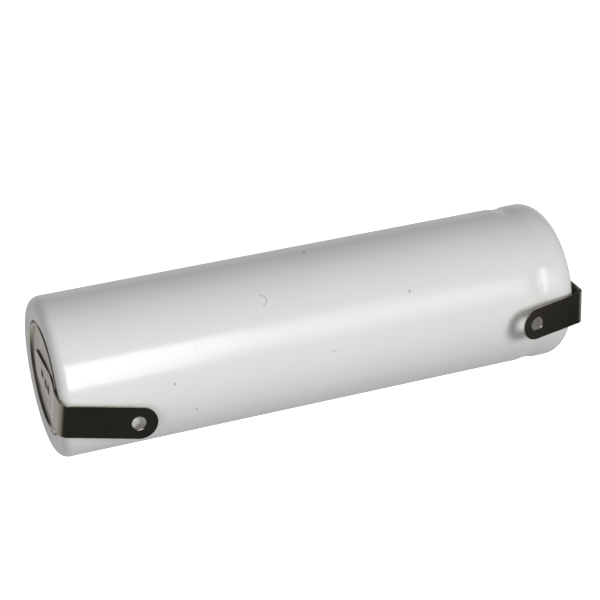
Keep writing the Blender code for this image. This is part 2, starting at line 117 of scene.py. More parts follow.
def start_material(name):
    """A new material with an empty node tree, and its object coordinates."""
    material = bpy.data.materials.new(name)
    material.use_nodes = True
    material.node_tree.nodes.clear()
    place = add(material.node_tree, "ShaderNodeTexCoord").outputs["Object"]
    return material, material.node_tree, place


print("white as linear light:", linear("#FFFFFF"))

# %% [markdown]
# ## White shrink film
#
# The sleeve is heat-shrunk PVC, coloured white and blown as a thin tube. It comes out of the oven glossy,
# with a faint orange-peel surface, long soft lines from the extruder's die, and the odd speck or hair
# scratch from handling. PVC's index of refraction is about 1.53. The gloss is not perfect, so the lamp's
# reflection spreads into a soft band, which is what a roughness near 0.15 gives.


# %% The film's material
# A flaw is at a level along the cell in mm and an angle in degrees, from the tags' side upwards, and its
# third number is its size in mm.
PVC_IOR = 1.53
SPECKS = [
    (24.8, 97.0, 0.10),
    (32.6, 43.4, 0.07),
    (9.9, 12.4, 0.07),
    (11.8, -12.5, 0.06),
    (24.7, 12.2, 0.05),
]
HAIR_SCRATCH = (19.0, 58.0, 0.5)
CREASE = (12.1, 30.0, 1.3)


def on_the_side(level, angle, radius):
    """A point on the cell's side, in metres."""
    turn = math.radians(angle)
    return Vector((level, -radius * math.cos(turn), radius * math.sin(turn))) * MM


def shrink_film(radius):
    """Glossy white PVC film with die lines, orange peel and small flaws."""
    material, tree, place = start_material("white_shrink_film")
    cloud = add(tree, "ShaderNodeTexNoise", {"Scale": 1 / (7 * MM), "Detail": 2.0}, {"Vector": place})
    white = add(tree, "ShaderNodeMix", {"data_type": "RGBA", 6: linear("#E8E8E6"), 7: linear("#E2E2E1")},
                {0: cloud})
    colour = white.outputs[2]
    gaps = []
    for level, angle, size in SPECKS + [HAIR_SCRATCH, CREASE]:
        spot = on_the_side(level, angle, radius)
        gap = add(tree, "ShaderNodeVectorMath", {"operation": "DISTANCE", 1: spot}, {0: place})
        gaps.append(gap.outputs["Value"])
    *speck_gaps, scratch_gap, crease_gap = gaps
    for (level, angle, size), gap in zip(SPECKS, speck_gaps):
        speck = add(tree, "ShaderNodeMapRange", {"From Min": size * MM, "From Max": size * 2 * MM,
                                                 "To Min": 0.75, "To Max": 0.0}, {"Value": gap})
        marked = add(tree, "ShaderNodeMix", {"data_type": "RGBA", 7: linear("#8A857E")},
                     {0: speck, 6: colour})
        colour = marked.outputs[2]

    level, angle, bow = HAIR_SCRATCH
    from_arc = add(tree, "ShaderNodeMath", {"operation": "SUBTRACT", 1: bow * MM}, {0: scratch_gap})
    off_arc = add(tree, "ShaderNodeMath", {"operation": "ABSOLUTE"}, {0: from_arc})
    arc = add(tree, "ShaderNodeMapRange", {"From Min": 0.02 * MM, "From Max": 0.07 * MM,
                                           "To Min": 1.0, "To Max": 0.0}, {"Value": off_arc})
    axes = add(tree, "ShaderNodeSeparateXYZ", links={0: place})
    one_side = add(tree, "ShaderNodeMath", {"operation": "GREATER_THAN", 1: level * MM},
                   {0: axes.outputs["X"]})
    scratch = add(tree, "ShaderNodeMath", {"operation": "MULTIPLY"}, {0: arc, 1: one_side})
    scratched = add(tree, "ShaderNodeMix", {"data_type": "RGBA", 7: linear("#C6C2BC")},
                    {0: scratch, 6: colour})

    level, angle, reach = CREASE
    off_crease = add(tree, "ShaderNodeMath", {"operation": "SUBTRACT", 1: level * MM},
                     {0: axes.outputs["X"]})
    off_crease = add(tree, "ShaderNodeMath", {"operation": "ABSOLUTE"}, {0: off_crease})
    near = add(tree, "ShaderNodeMapRange", {"From Min": 0.5 * reach * MM, "From Max": reach * MM,
                                            "To Min": 1.0, "To Max": 0.0}, {"Value": crease_gap})
    line = add(tree, "ShaderNodeMapRange", {"From Min": 0.0, "From Max": 0.12 * MM, "To Min": 1.0,
                                            "To Max": 0.0}, {"Value": off_crease})
    crease = add(tree, "ShaderNodeMath", {"operation": "MULTIPLY"}, {0: near, 1: line})

    # Orange peel has bumps about 0.8 mm across, and die lines run along the cell about 0.5 mm apart.
    peel = add(tree, "ShaderNodeTexNoise", {"Scale": 1 / (0.8 * MM), "Detail": 1.5}, {"Vector": place})
    stretched = add(tree, "ShaderNodeMapping", {"Scale": (1 / (18 * MM), 1 / (0.5 * MM), 1 / (0.5 * MM))},
                    {"Vector": place})
    die_lines = add(tree, "ShaderNodeTexNoise", {"Scale": 1.0, "Detail": 2.0}, {"Vector": stretched})
    bump = add(tree, "ShaderNodeBump", {"Distance": 0.0045 * MM}, {"Height": peel})
    bump = add(tree, "ShaderNodeBump", {"Distance": 0.0022 * MM}, {"Height": die_lines, "Normal": bump})
    bump = add(tree, "ShaderNodeBump", {"Distance": 0.012 * MM}, {"Height": crease, "Normal": bump})
    handling = add(tree, "ShaderNodeMapRange", {"From Min": 0.3, "From Max": 0.7, "To Min": 0.12,
                                                "To Max": 0.17}, {"Value": cloud})
    surface = add(tree, "ShaderNodeBsdfPrincipled", {"IOR": PVC_IOR},
                  {"Base Color": scratched.outputs[2], "Roughness": handling, "Normal": bump})
    add(tree, "ShaderNodeOutputMaterial", links={"Surface": surface})
    return material


# %% [markdown]
# ## Rolled nickel strip
#
# Solder tags are stamped from thin rolled nickel. Rolling leaves very fine straight lines along the
# strip, so the pattern has to follow the strip round its bend: it reads the strip's own UV map, whose
# unit is a fixed length of strip. Nickel is a metal, so its colour goes in Base Color with Metallic 1 and
# the default IOR. Spot welds leave a small scorched ring, which an attribute named "weld" carries.


# %% The tags' material
STRIP_UV_LENGTH = 20.0
LINE_LENGTH = 6
# Rolling lines are a few hundredths of a millimetre apart, and 0.12 mm is as coarse as they need to show.
LINE_WIDTH = 0.12


def rolled_nickel():
    """Bright rolled nickel, with lines along the strip and scorched weld spots."""
    material, tree, place = start_material("rolled_nickel_strip")
    strip = add(tree, "ShaderNodeUVMap", {"uv_map": "strip"})
    scale = (STRIP_UV_LENGTH / LINE_LENGTH, STRIP_UV_LENGTH / LINE_WIDTH, 1)
    stretched = add(tree, "ShaderNodeMapping", {"Scale": scale}, {"Vector": strip})
    lines = add(tree, "ShaderNodeTexNoise", {"Scale": 1.0, "Detail": 3.0}, {"Vector": stretched})
    cloud = add(tree, "ShaderNodeTexNoise", {"Scale": 1 / (1.4 * MM), "Detail": 4.0}, {"Vector": place})
    weld = add(tree, "ShaderNodeAttribute", {"attribute_name": "weld"}).outputs["Fac"]
    metal = add(tree, "ShaderNodeMix", {"data_type": "RGBA", 6: linear("#B9B3A6"), 7: linear("#A29A8C")},
                {0: cloud})
    scorched = add(tree, "ShaderNodeMix", {"data_type": "RGBA", 7: linear("#14110E")},
                   {0: weld, 6: metal.outputs[2]})
    gloss = add(tree, "ShaderNodeMapRange", {"From Min": 0.25, "From Max": 0.75, "To Min": 0.17,
                                             "To Max": 0.23}, {"Value": lines})
    dulled = add(tree, "ShaderNodeMath", {"operation": "MULTIPLY_ADD", 1: 0.15}, {0: weld, 2: gloss})
    bump = add(tree, "ShaderNodeBump", {"Distance": 0.0003 * MM}, {"Height": lines})
    bump = add(tree, "ShaderNodeBump", {"Distance": 0.004 * MM}, {"Height": cloud, "Normal": bump})
    surface = add(tree, "ShaderNodeBsdfPrincipled", {"Metallic": 1.0},
                  {"Base Color": scorched.outputs[2], "Roughness": dulled, "Normal": bump})
    add(tree, "ShaderNodeOutputMaterial", links={"Surface": surface})
    return material


# %% [markdown]
# ## Nickel-plated steel
#
# The can, cap and plates are pressed from steel sheet that was nickel-plated first. Drawing stretches the
# plating, so it is satin rather than bright, slightly warm, and cloudy at the scale of a millimetre. The
# same recipe serves every pressed part.


# %% The pressed parts' material
def plated_steel():
    """Satin nickel plating on drawn steel, slightly warm and cloudy."""
    material, tree, place = start_material("nickel_plated_steel")
    cloud = add(tree, "ShaderNodeTexNoise", {"Scale": 1 / (1.6 * MM), "Detail": 4.0}, {"Vector": place})
    grain = add(tree, "ShaderNodeTexNoise", {"Scale": 1 / (0.12 * MM), "Detail": 2.0}, {"Vector": place})
    metal = add(tree, "ShaderNodeMix", {"data_type": "RGBA", 6: linear("#C6BFB4"), 7: linear("#B0A79C")},
                {0: cloud})
    gloss = add(tree, "ShaderNodeMapRange", {"From Min": 0.3, "From Max": 0.7, "To Min": 0.24,
                                             "To Max": 0.34}, {"Value": cloud})
    bump = add(tree, "ShaderNodeBump", {"Distance": 0.003 * MM}, {"Height": grain})
    surface = add(tree, "ShaderNodeBsdfPrincipled", {"Metallic": 1.0},
                  {"Base Color": metal.outputs[2], "Roughness": gloss, "Normal": bump})
    add(tree, "ShaderNodeOutputMaterial", links={"Surface": surface})
    return material


# %% [markdown]
# ## The hidden materials
#
# Inside are two electrode plates, two fleece separators, a nylon gasket and insulator, a fibre ring, a
# rubber vent seal and a steel spring. Each is a plain industrial material whose colour varies with some
# grain: felted fibres, pressed powder, moulded nylon. One recipe with a fine pattern, two colours and a
# bump covers them, with its numbers chosen for each.


# %% One recipe for powders, fibres and mouldings
def grained(name, colours, grain_size, stretch, bump_height, roughness, metallic=0.0, ior=1.5):
    """A matt material whose two colours and bump follow one pattern with a real grain size in mm."""
    material, tree, place = start_material(name)
    scale = [1 / (grain_size * MM * axis) for axis in stretch]
    sized = add(tree, "ShaderNodeMapping", {"Scale": scale}, {"Vector": place})
    grain = add(tree, "ShaderNodeTexNoise", {"Scale": 1.0, "Detail": 5.0, "Roughness": 0.6},
                {"Vector": sized})
    contrast = add(tree, "ShaderNodeMapRange", {"From Min": 0.35, "From Max": 0.65}, {"Value": grain})
    mixed = add(tree, "ShaderNodeMix", {"data_type": "RGBA", 6: linear(colours[0]), 7: linear(colours[1])},
                {0: contrast})
    bump = add(tree, "ShaderNodeBump", {"Distance": bump_height * MM}, {"Height": grain})
    surface = add(tree, "ShaderNodeBsdfPrincipled",
                  {"Metallic": metallic, "Roughness": roughness, "IOR": ior},
                  {"Base Color": mixed.outputs[2], "Normal": bump})
    add(tree, "ShaderNodeOutputMaterial", links={"Surface": surface})
    return material


EVEN = (1, 1, 1)
STEEL = plated_steel()
NICKEL = rolled_nickel()
FIBRE = grained("vulcanised_fibre", ("#B4A184", "#94805F"), 0.25, (1, 3, 1), 0.01, 0.85)
NYLON = grained("moulded_nylon", ("#E0DACA", "#D2CBB8"), 0.5, EVEN, 0.004, 0.5, ior=1.53)
RUBBER = grained("vent_rubber", ("#1C1B1A", "#292726"), 0.2, EVEN, 0.006, 0.75)
SPRING = grained("drawn_spring_wire", ("#BDBAB4", "#A3A09A"), 0.08, EVEN, 0.001, 0.28, metallic=1.0)
HYDROXIDE = grained("nickel_hydroxide_paste", ("#1F2A22", "#3A4038"), 0.15, EVEN, 0.02, 0.9)
ALLOY = grained("hydride_alloy_powder", ("#2A2A2C", "#46464A"), 0.1, EVEN, 0.015, 0.75)
FLEECE = grained("polypropylene_fleece", ("#DCDAD0", "#C3C0B4"), 0.12, (1, 6, 1), 0.03, 0.95)
print("materials:", len(bpy.data.materials))

# %% [markdown]
# ## Sizes from the frame
#
# Every turned part's ends and radius are read from its CAD node, so the fine meshes fall exactly where the
# coarse ones are. Only a few sizes can't be read from a box, such as wall thicknesses and corner radii.
# They are named here once, in millimetres, as the part's own source has them.


# %% Read the ends and radii of the turned parts
def extent(node):
    """Where a turned CAD node starts and ends along X, and its outer radius, in mm."""
    low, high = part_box(node)
    return low.x / MM, high.x / MM, (high.y - low.y) / 2 / MM


FILM = 0.15
CAN_WALL = 0.3
BASE_DISH = 0.2
BEAD_FROM_END = 3.8
NEGATIVE_SHOULDER = 1.0
POSITIVE_SHOULDER = 1.8

SLEEVE_START, SLEEVE_END, SLEEVE_RADIUS = extent("outer_sleeve")
CAN_START, RIM_TOP, CAN_RADIUS = extent("steel_can")
CAP_START, CAP_TOP, CAP_FLANGE = extent("positive_cap")
RING_RADIUS = extent("cap_ring")[2]
BEAD = SLEEVE_END - BEAD_FROM_END
BASE = CAN_START + BASE_DISH
DISH_INNER = CAN_RADIUS - 1.55
DISH_FILLET = 0.5
LIP_SINK = 0.22
BASE_RING = 4.85
BASE_RING_HEIGHT = 0.24
BASE_RING_FOOT = 0.22
BASE_RING_CREST = 0.1
NEGATIVE_OPENING = 5.2
POSITIVE_OPENING = 4.9
RIM_OPENING = RING_RADIUS - 0.35
print(f"sleeve {SLEEVE_START:.2f} to {SLEEVE_END:.2f} mm, radius {SLEEVE_RADIUS:.2f}, bead at {BEAD:.2f}")

# %% [markdown]
# ## Profiles
#
# A turned part is a line in the (x, r) plane, spun about the cell's axis. The line is written as corners
# with a fillet radius each, which is how a toolmaker would draw it, and a function puts the arcs in. A
# second function gives the line its wall, so a sheet-metal or film part is one closed band with a real
# thickness. A third adds points on long straight runs, where the film's ripples need them.


# %% Fillets, walls and rows
def filleted(corners, arc_step=7.5):
    """A line through (x, r, fillet radius) corners. The first and last corners stay sharp."""
    points = [Vector(corners[0][:2])]
    for before, corner, after in zip(corners, corners[1:], corners[2:]):
        here, radius = Vector(corner[:2]), corner[2]
        back = (Vector(before[:2]) - here).normalized()
        on = (Vector(after[:2]) - here).normalized()
        half = back.angle(on) / 2
        if radius == 0 or half > math.radians(89.9):
            points.append(here)
            continue
        centre = here + (back + on).normalized() * radius / math.sin(half)
        spoke = here + back * radius / math.tan(half) - centre
        turn = (math.pi - 2 * half) * (1 if on.cross(back) > 0 else -1)
        steps = max(2, math.ceil(math.degrees(abs(turn)) / arc_step))
        for step in range(steps + 1):
            points.append(centre + Matrix.Rotation(turn * step / steps, 2) @ spoke)
    return points + [Vector(corners[-1][:2])]


def bead_corners(radius, half_width, depth, steps=16):
    """The rolled-in bead as a smooth dip, from high x to low x."""
    corners = []
    for step in range(steps + 1):
        offset = half_width * (1 - 2 * step / steps)
        dip = depth * math.cos(math.pi / 2 * offset / half_width) ** 2
        corners.append((BEAD + offset, radius - dip, 0))
    return corners


def with_rows(line, spacing):
    """The same line with extra points, so that no step is longer than the spacing."""
    rows = [line[0]]
    for start, end in zip(line, line[1:]):
        count = max(1, math.ceil((end - start).length / spacing))
        rows += [start.lerp(end, step / count) for step in range(1, count + 1)]
    return rows


def outward_normals(line):
    """The outward direction at each point of a line whose outside runs from high x to low x."""
    normals = []
    for index in range(len(line)):
        along = [line[i + 1] - line[i] for i in (index - 1, index) if 0 <= i < len(line) - 1]
        mean = sum((step.normalized() for step in along), Vector((0, 0))).normalized()
        reach = 1 / mean.dot(along[-1].normalized())
        normals.append(Vector((mean.y, -mean.x)) * reach)
    return normals


def walled(line, wall, outside=None):
    """A closed band with a wall inside the line. A coined outside may differ from the line."""
    inner = [point - normal * wall for point, normal in zip(line, outward_normals(line))]
    return (outside or line)[::-1] + inner


def washer(low, high, inner, outer, edge=0.05):
    """A flat ring's outline, with its edges just broken."""
    middle = (low + high) / 2
    corners = [(middle, inner, 0), (low, inner, edge), (low, outer, edge), (high, outer, edge),
               (high, inner, edge), (middle, inner, 0)]
    return filleted(corners, 30)[:-1]


print("a fillet between two runs has", len(filleted([(0, 0, 0), (1, 0, 0.3), (1, 1, 0)])) - 2, "points")

# %% [markdown]
# ## One Geometry Nodes tree that turns every round part
#
# A round part has the same profile at every angle, and a Geometry Nodes tree can state that rule once. It
# lays out a grid, one column for each angle and one row for each profile point, looks the point up by its
# index and turns it to its angle. Two more terms make a shrunk film look real: a noise that lifts it where
# it lies loose, and a slow wave in its cut lips. Both come from attributes on the profile, which pressed
# parts leave out, so they stay truly round.


# %% Build the turning tree
def turning_tree():
    """Geometry Nodes: spin a profile of (x, r) points, in metres, about the X axis."""
    tree = bpy.data.node_groups.new("turn_profile", "GeometryNodeTree")
    inputs = {"Profile": "Geometry", "Columns": "Int", "Closed Ring": "Int", "Ripple Height": "Float",
              "Ripple Width": "Float", "Lip Wave": "Float", "Seed": "Float", "Finish": "Material"}
    for name, kind in inputs.items():
        tree.interface.new_socket(name=name, in_out="INPUT", socket_type=f"NodeSocket{kind}")
    tree.interface.new_socket(name="Turned Part", in_out="OUTPUT", socket_type="NodeSocketGeometry")
    given = add(tree, "NodeGroupInput").outputs

    # A closed ring repeats its first row at the end, and the merge below joins the two.
    count = add(tree, "GeometryNodeAttributeDomainSize", links={"Geometry": given["Profile"]}).outputs[0]
    rows = add(tree, "ShaderNodeMath", {"operation": "ADD"}, {0: count, 1: given["Closed Ring"]})
    columns = add(tree, "ShaderNodeMath", {"operation": "ADD", 1: 1.0}, {0: given["Columns"]})
    grid = add(tree, "GeometryNodeMeshGrid", links={"Vertices X": columns, "Vertices Y": rows})
    index = add(tree, "GeometryNodeInputIndex")
    share = add(tree, "ShaderNodeMath", {"operation": "DIVIDE"}, {0: index, 1: rows})
    column = add(tree, "ShaderNodeMath", {"operation": "FLOOR"}, {0: share})
    row = add(tree, "ShaderNodeMath", {"operation": "MODULO"}, {0: index, 1: rows})
    point = add(tree, "ShaderNodeMath", {"operation": "MODULO"}, {0: row, 1: count})
    part = add(tree, "ShaderNodeMath", {"operation": "DIVIDE"}, {0: column, 1: given["Columns"]})
    angle = add(tree, "ShaderNodeMath", {"operation": "MULTIPLY", 1: 2 * math.pi}, {0: part})

    def from_profile(value):
        """Look a vector up on the profile, at this row's point."""
        sample = add(tree, "GeometryNodeSampleIndex", {"data_type": "FLOAT_VECTOR"},
                     {"Geometry": given["Profile"], "Value": value, "Index": point})
        return sample.outputs[0]

    shape = from_profile(add(tree, "GeometryNodeInputPosition"))
    named = [{"data_type": "FLOAT_VECTOR", "Name": name} for name in ("loose", "lip")]
    loose, lip = (from_profile(add(tree, "GeometryNodeInputNamedAttribute", each)) for each in named)

    def turned(vector):
        """Turn an (x, r) vector about the X axis to this column's angle."""
        turn = add(tree, "ShaderNodeVectorRotate", {"rotation_type": "X_AXIS"},
                   {"Vector": vector, "Angle": angle})
        return turn.outputs[0]

    # Pleats run along the film, so the ripple's noise is stretched in X.
    round_place = turned(shape)
    pleated = add(tree, "ShaderNodeVectorMath", {"operation": "MULTIPLY", 1: (0.35, 1.0, 1.0)},
                  {0: round_place})
    size = add(tree, "ShaderNodeMath", {"operation": "DIVIDE", 0: 1.0}, {1: given["Ripple Width"]})
    ripple = add(tree, "ShaderNodeTexNoise", {"noise_dimensions": "4D", "Detail": 2.0},
                 {"Vector": pleated, "W": given["Seed"], "Scale": size})
    lift = add(tree, "ShaderNodeMath", {"operation": "MULTIPLY"}, {0: ripple, 1: given["Ripple Height"]})
    lifted = add(tree, "ShaderNodeVectorMath", {"operation": "SCALE"}, {0: loose, "Scale": lift})

    # The wave depends on the angle alone, so both faces of the lip move together.
    ray = turned(add(tree, "ShaderNodeCombineXYZ", {"Y": 1.0}))
    wave = add(tree, "ShaderNodeTexNoise", {"noise_dimensions": "4D", "Scale": 1.3, "Detail": 1.0},
               {"Vector": ray, "W": given["Seed"]})
    swing = add(tree, "ShaderNodeMath", {"operation": "SUBTRACT", 1: 0.5}, {0: wave})
    swing = add(tree, "ShaderNodeMath", {"operation": "MULTIPLY"}, {0: swing, 1: given["Lip Wave"]})
    waved = add(tree, "ShaderNodeVectorMath", {"operation": "SCALE"}, {0: lip, "Scale": swing})

    moved = add(tree, "ShaderNodeVectorMath", {"operation": "ADD"}, {0: shape, 1: lifted.outputs[0]})
    moved = add(tree, "ShaderNodeVectorMath", {"operation": "ADD"}, {0: moved, 1: waved.outputs[0]})
    placed = add(tree, "GeometryNodeSetPosition",
                 links={"Geometry": grid, "Position": turned(moved.outputs[0])})
    merged = add(tree, "GeometryNodeMergeByDistance", {"Distance": 0.0001 * MM}, {"Geometry": placed})
    smooth = add(tree, "GeometryNodeSetShadeSmooth", links={"Geometry": merged})
    real = add(tree, "GeometryNodeRealizeInstances", links={"Geometry": smooth})
    finished = add(tree, "GeometryNodeSetMaterial", links={"Geometry": real, "Material": given["Finish"]})
    add(tree, "NodeGroupOutput", links={"Turned Part": finished})
    return tree


TURNING = turning_tree()
print("the turning tree has", len(TURNING.nodes), "nodes")

# %% [markdown]
# ## From a profile to a finished piece
#
# Each round part then needs only its profile and its finish. The normals are recalculated so that they
# point outwards, and edges sharper than 35 degrees are marked sharp.


# %% Turn a part
SHARP_CORNER = math.radians(35)


def plain(piece):
    """Make the modifiers' result the piece's own mesh, with outward faces and sharp corners marked."""
    depsgraph = bpy.context.evaluated_depsgraph_get()
    piece.data = bpy.data.meshes.new_from_object(piece.evaluated_get(depsgraph))
    piece.modifiers.clear()
    shape = bmesh.new()
    shape.from_mesh(piece.data)
    bmesh.ops.recalc_face_normals(shape, faces=shape.faces)
    for edge in shape.edges:
        edge.smooth = len(edge.link_faces) == 2 and edge.calc_face_angle() < SHARP_CORNER
    shape.to_mesh(piece.data)
    shape.free()
    return piece


def turn_part(name, profile, finish, closed, attributes=None, columns=128, **film):
    """Make one turned part from (x, r) points in mm. Film parts also give ripple and lip settings."""
    mesh = bpy.data.meshes.new(name)
    mesh.from_pydata([(x * MM, r * MM, 0) for x, r in profile], [], [])
    for attribute, vectors in (attributes or {}).items():
        values = [part for x, r in vectors for part in (x, r, 0)]
        mesh.attributes.new(attribute, "FLOAT_VECTOR", "POINT").data.foreach_set("vector", values)
    piece = put_in_scene(name, mesh)
    modifier = piece.modifiers.new("turn", "NODES")
    modifier.node_group = TURNING
    values = {"Columns": columns, "Closed Ring": int(closed), "Ripple Height": 0.0, "Ripple Width": 1.0,
              "Lip Wave": 0.0, "Seed": 0.0, "Finish": finish, **film}
    for item in TURNING.interface.items_tree:
        if item.in_out == "INPUT" and item.name in values:
            modifier[item.identifier] = values[item.name]
    return plain(piece)


def stand_in(piece, node, body="cell"):
    """Show the piece in place of a CAD node, moving with a body."""
    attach(piece, body)
    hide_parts(node)
    print(f"{piece.name}: {len(piece.data.polygons)} faces, stands for {node}")


# %% [markdown]
# ## The shrink sleeve
#
# The film starts as a tube and shrinks on to the can, so it follows every shape under it: the rounded
# base corner, the bead's dip and the crimped shoulder. Where it rolls in over an end it has too much
# length round the circle, and gathers into faint pleats. Its cut lips are never quite round. The profile
# carries both facts: "loose" points the way that the film can lift, and "lip" says how far the lip swings.


# %% Make the sleeve
FILM_DIP_WIDTH = 1.2
FILM_DIP_DEPTH = 0.14


def smooth_share(value, start, end):
    """0 before start, 1 after end, and a smooth rise between them."""
    share = min(1, max(0, (value - start) / (end - start)))
    return share * share * (3 - 2 * share)


def looseness(point):
    """How loosely the film lies at a profile point: most over the crimp shoulder, least on the side."""
    x, r = point
    shoulder = smooth_share(x, SLEEVE_END - 2.6, SLEEVE_END - 1.2) * smooth_share(r, 4.9, 5.6)
    bead = 0.8 * max(0, 1 - abs(x - BEAD) / 2.0)
    base = 0.35 * (1 - smooth_share(x, 0.0, 1.2)) * smooth_share(r, 5.4, 6.2)
    return 0.12 + 0.88 * max(shoulder, bead, base)


def make_sleeve():
    """The white film round the can."""
    corners = [(SLEEVE_END, POSITIVE_OPENING, 0), (SLEEVE_END, SLEEVE_RADIUS, POSITIVE_SHOULDER)]
    corners += bead_corners(SLEEVE_RADIUS, FILM_DIP_WIDTH, FILM_DIP_DEPTH)
    corners += [
        (SLEEVE_START, SLEEVE_RADIUS, NEGATIVE_SHOULDER),
        (SLEEVE_START + LIP_SINK, NEGATIVE_OPENING, 0),
    ]
    line = with_rows(filleted(corners, 6), 0.8)
    loose = [normal * looseness(point) for point, normal in zip(line, outward_normals(line))]
    lip = []
    for x, r in line:
        opening = NEGATIVE_OPENING if x < BEAD else POSITIVE_OPENING
        lip.append(Vector((0, 1)) * (1 - smooth_share(r, opening, opening + 0.7)))
    film = {"loose": loose[::-1] + loose, "lip": lip[::-1] + lip}
    finish = shrink_film(SLEEVE_RADIUS)
    sleeve = turn_part("shrink_sleeve", walled(line, FILM), finish, True, film, columns=224,
                       **{"Ripple Height": 0.045 * MM, "Ripple Width": 2.0 * MM, "Lip Wave": 0.45 * MM,
                          "Seed": 4.0})
    stand_in(sleeve, "outer_sleeve")


make_sleeve()

# %% [markdown]
# ## The can, the cap and the ring on the crimp
#
# The can is drawn from one disc: its base has a low coined ring, its side is necked in at the bead, and its
# rim is crimped over the lid. The hat-shaped cap closes the positive end, with four gas holes in its wall,
# and a fibre ring keeps a tab from bridging the rim. Profiles with real bend radii replace the CAD's facets.


# %% Make the can
BEAD_WIDTH = 1.0
BEAD_DEPTH = 0.9


def make_can():
    """The deep-drawn can, from the middle of its base to its crimped rim."""
    corners = [(RIM_TOP, RIM_OPENING, 0), (RIM_TOP, CAN_RADIUS, POSITIVE_SHOULDER - FILM)]
    corners += bead_corners(CAN_RADIUS, BEAD_WIDTH, BEAD_DEPTH)
    corners += [
        (CAN_START, CAN_RADIUS, NEGATIVE_SHOULDER - FILM),
        (BASE, DISH_INNER, DISH_FILLET),
    ]
    ring_top = BASE - BASE_RING_HEIGHT
    ring = [
        (BASE, BASE_RING + BASE_RING_FOOT, 0.04),
        (ring_top, BASE_RING + BASE_RING_CREST, 0.08),
        (ring_top, BASE_RING - BASE_RING_CREST, 0.08),
        (BASE, BASE_RING - BASE_RING_FOOT, 0.04),
    ]
    middle = [(BASE, 0, 0)]
    band = walled(filleted(corners + middle), CAN_WALL, filleted(corners + ring + middle))
    can = turn_part("drawn_can", band, STEEL, False)
    stand_in(can, "steel_can")


make_can()


# %% Make the cap and its gas holes
CAP_BODY = 3.3
CAP_CORNER = 0.4
GAS_HOLES = 4
GAS_HOLE = 0.35
DRILL_LENGTH = 1.2


def make_cap():
    """The hat-shaped cap. Its gas holes are drilled through the wall by a Boolean."""
    flange = CAP_START + CAN_WALL
    corners = [(CAP_TOP, 0, 0), (CAP_TOP, CAP_BODY, CAP_CORNER), (flange, CAP_BODY, 0.15),
               (flange, CAP_FLANGE, 0)]
    cap = turn_part("pressed_cap", walled(filleted(corners), CAN_WALL), STEEL, False)
    height = (RIM_TOP + flange) / 2 - 0.15
    drills = bmesh.new()
    for number in range(GAS_HOLES):
        angle = 2 * math.pi * (number + 0.5) / GAS_HOLES
        ray = Vector((0, math.cos(angle), math.sin(angle)))
        centre = (Vector((height, 0, 0)) + ray * CAP_BODY) * MM
        place = Matrix.Translation(centre) @ ray.to_track_quat("Z", "X").to_matrix().to_4x4()
        bmesh.ops.create_cone(drills, cap_ends=True, segments=24, radius1=GAS_HOLE * MM,
                              radius2=GAS_HOLE * MM, depth=DRILL_LENGTH * MM, matrix=place)
    mesh = bpy.data.meshes.new("gas_hole_drills")
    drills.to_mesh(mesh)
    drills.free()
    tool = put_in_scene("gas_hole_drills", mesh)
    drilled = cap.modifiers.new("gas_holes", "BOOLEAN")
    drilled.object = tool
    drilled.solver = "EXACT"
    plain(cap)
    bpy.data.objects.remove(tool)
    stand_in(cap, "positive_cap")


make_cap()

# %% [markdown]
# ## The plain rings and discs
#
# The fibre ring, cover plate, collectors, insulator and vent seal are washers or discs. The frame gives
# their ends and widths, so a table names only each hole and finish.


# %% Make the rings and discs
RINGS = [
    ("cap_ring", 3.7, FIBRE, "fibre_board"),
    ("cover_plate", 0.8, STEEL, "plated_steel"),
    ("negative_collector", 1.0, STEEL, "plated_steel"),
    ("positive_collector", 1.0, STEEL, "plated_steel"),
    ("top_insulator", 2.79, NYLON, "polyamide"),
]
for node, hole, finish, slot in RINGS:
    start, end, radius = extent(node)
    ring = turn_part(f"fine_{node}", washer(start, end, hole, radius), finish, True, columns=96)
    stand_in(ring, node)

start, end, radius = extent("vent_seal")
seal = filleted([(end, 0, 0), (end, radius, 0.12), (start, radius, 0.12), (start, 0, 0)], 15)
disc = turn_part("moulded_vent_seal", seal, RUBBER, False, columns=64)
stand_in(disc, "vent_seal", "vent")

# %% [markdown]
# ## Materials for the parts that keep their CAD mesh
#
# The wound plates, separators, lead, gasket and vent plate already have the right shape, and they sit inside
# the closed can. Their meshes stay, and only their finish changes: a material slot that belongs to the
# object, not to its mesh, takes the new material and leaves the mesh untouched.


# %% Finish the carried-over nodes
CARRIED_OVER = {
    "positive_plate": HYDROXIDE,
    "negative_plate": ALLOY,
    "inner_separator": FLEECE,
    "outer_separator": FLEECE,
    "positive_lead": STEEL,
    "sealing_gasket": NYLON,
    "vent_plate": STEEL,
}
for node, finish in CARRIED_OVER.items():
    for material_slot in frame["nodes"][node].material_slots:
        material_slot.link = "OBJECT"
        material_slot.material = finish
print("carried over:", ", ".join(CARRIED_OVER))

# %% [markdown]
# ## Vent spring
#
# The spring sits between the vent plate and the cap, and it has to shorten when the plate lifts. Its mesh
# moves into a piece of its own, with the spring-wire finish, and the CAD spring is hidden.


# %% Move the vent spring into a piece of its own
spring = frame["nodes"]["vent_spring"]
coil_mesh = spring.data.copy()
coil_mesh.transform(spring.matrix_world)
coil_mesh.materials.clear()
coil_mesh.materials.append(SPRING)
coil = put_in_scene("conical_vent_spring", coil_mesh)
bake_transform(coil)
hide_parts("vent_spring")
print(f"{coil.name}: {len(coil_mesh.polygons)} faces")
